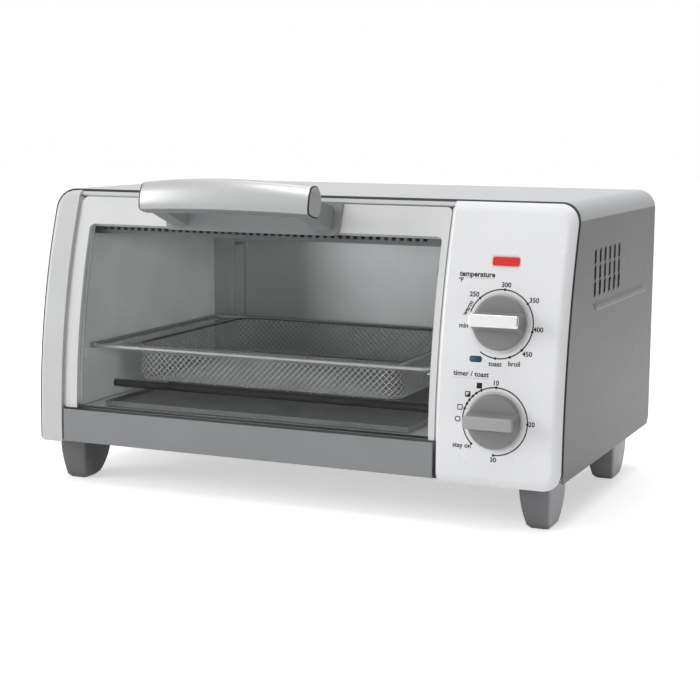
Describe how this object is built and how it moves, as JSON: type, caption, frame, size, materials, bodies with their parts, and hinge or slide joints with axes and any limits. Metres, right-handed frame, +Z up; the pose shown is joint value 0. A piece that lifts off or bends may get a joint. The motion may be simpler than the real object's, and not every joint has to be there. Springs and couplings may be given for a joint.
{
  "type": "toaster oven",
  "caption": "Countertop toaster oven with a curved glass drop-down door, bar handle, side control panel with two rotary dials, vented side, wire air-fry basket and rear crumb tray.",
  "frame": {"origin": "on the table, under the middle of the object's box", "axes": "+Z up, +X to the oven's right as the user faces the door, +Y to the back"},
  "size_m": [0.4186, 0.281, 0.2346],
  "materials": {
    "silver_paint": "light silver-grey satin enamel",
    "grey_paint": "mid grey satin enamel",
    "white_plastic": "silver-white moulded panel with a soft gloss",
    "grey_plastic": "mid grey moulding, soft gloss",
    "silver_plastic": "silver-painted moulding",
    "dark_plastic": "dark grey moulding",
    "foot_plastic": "dark grey moulding, fine grain",
    "black_plastic": "black moulding",
    "chrome": "bright plated cap",
    "steel": "plain zinc-plated steel",
    "liner_steel": "grey aluminised sheet",
    "wire_steel": "bright wire and mesh",
    "tray_steel": "dark grey sheet",
    "element_sheath": "dull oxidised sheath",
    "glass": "clear tempered glass, bent to the door's curve",
    "red_lens": "translucent red lens"
  },
  "bodies": {
    "root": {"outer_wrapper": "grey_paint", "front_frame": "silver_paint", "control_panel": "white_plastic", "lower_front_strip": "grey_paint", "base_plate": "grey_paint", "foot_front_left": "foot_plastic", "foot_front_right": "foot_plastic", "foot_rear_left": "foot_plastic", "foot_rear_right": "foot_plastic", "back_cover": "grey_paint", "cover_screw_1": "steel", "cover_screw_2": "steel", "cover_screw_3": "steel", "cover_screw_4": "steel", "rear_spacer_left": "black_plastic", "rear_spacer_right": "black_plastic", "cord_gland": "black_plastic", "cavity_left_wall": "liner_steel", "cavity_right_wall": "liner_steel", "cavity_ceiling": "liner_steel", "cavity_floor": "liner_steel", "cavity_back_wall": "liner_steel", "rack_guide_left": "liner_steel", "rack_guide_right": "liner_steel", "element_guard": "liner_steel", "heating_element_upper_front": "element_sheath", "heating_element_upper_rear": "element_sheath", "heating_element_lower_front": "element_sheath", "heating_element_lower_rear": "element_sheath", "fan_guard": "liner_steel", "fan_housing": "steel", "fan_motor": "steel", "thermostat": "black_plastic", "timer": "steel", "timer_bell": "steel", "lamp_lens": "red_lens", "lamp_holder": "black_plastic"},
    "door": {"door_frame": "silver_paint", "door_glass": "glass", "door_hinge_pin_left": "steel", "door_hinge_pin_right": "steel", "handle_bar": "silver_plastic", "handle_end_cap_left": "grey_plastic", "handle_end_cap_right": "grey_plastic", "handle_bracket": "dark_plastic", "handle_screw_left": "steel", "handle_screw_right": "steel"},
    "temperature_dial": {"temperature_knob": "grey_plastic", "temperature_grip_cap": "chrome", "temperature_spindle": "steel"},
    "timer_dial": {"timer_knob": "grey_plastic", "timer_grip_cap": "grey_plastic", "timer_spindle": "steel"},
    "fan": {"fan_rotor": "steel"},
    "basket": {"basket_rim": "wire_steel", "basket_pan": "wire_steel"},
    "tray": {"crumb_tray": "tray_steel"}
  },
  "joints": [
    {"name": "door_hinge", "type": "hinge", "parent": "root", "child": "door", "pos_m": [-0.0346, -0.10967, 0.0593], "axis": [1, 0, 0], "range_deg": [0, 90]},
    {"name": "temperature_turn", "type": "hinge", "parent": "root", "child": "temperature_dial", "pos_m": [0.1605, -0.10238, 0.1399], "axis": [0, 0.9818, -0.1898], "range_deg": [0, 300]},
    {"name": "timer_turn", "type": "hinge", "parent": "root", "child": "timer_dial", "pos_m": [0.1605, -0.11062, 0.0742], "axis": [0, 0.9983, -0.0584], "range_deg": [-45, 270]},
    {"name": "fan_spin", "type": "hinge", "parent": "root", "child": "fan", "pos_m": [0.12, 0.03853, 0.129], "axis": [1, 0, 0], "continuous": true},
    {"name": "basket_slide", "type": "slide", "parent": "root", "child": "basket", "axis": [0, -1, 0], "range_m": [0, 0.045]},
    {"name": "tray_slide", "type": "slide", "parent": "root", "child": "tray", "axis": [0, 1, 0], "range_m": [0, 0.2]}
  ],
  "couplings": [
    {"joint": "basket_slide", "follows": "door_hinge", "m_per_rad": 0.0286}
  ]
}
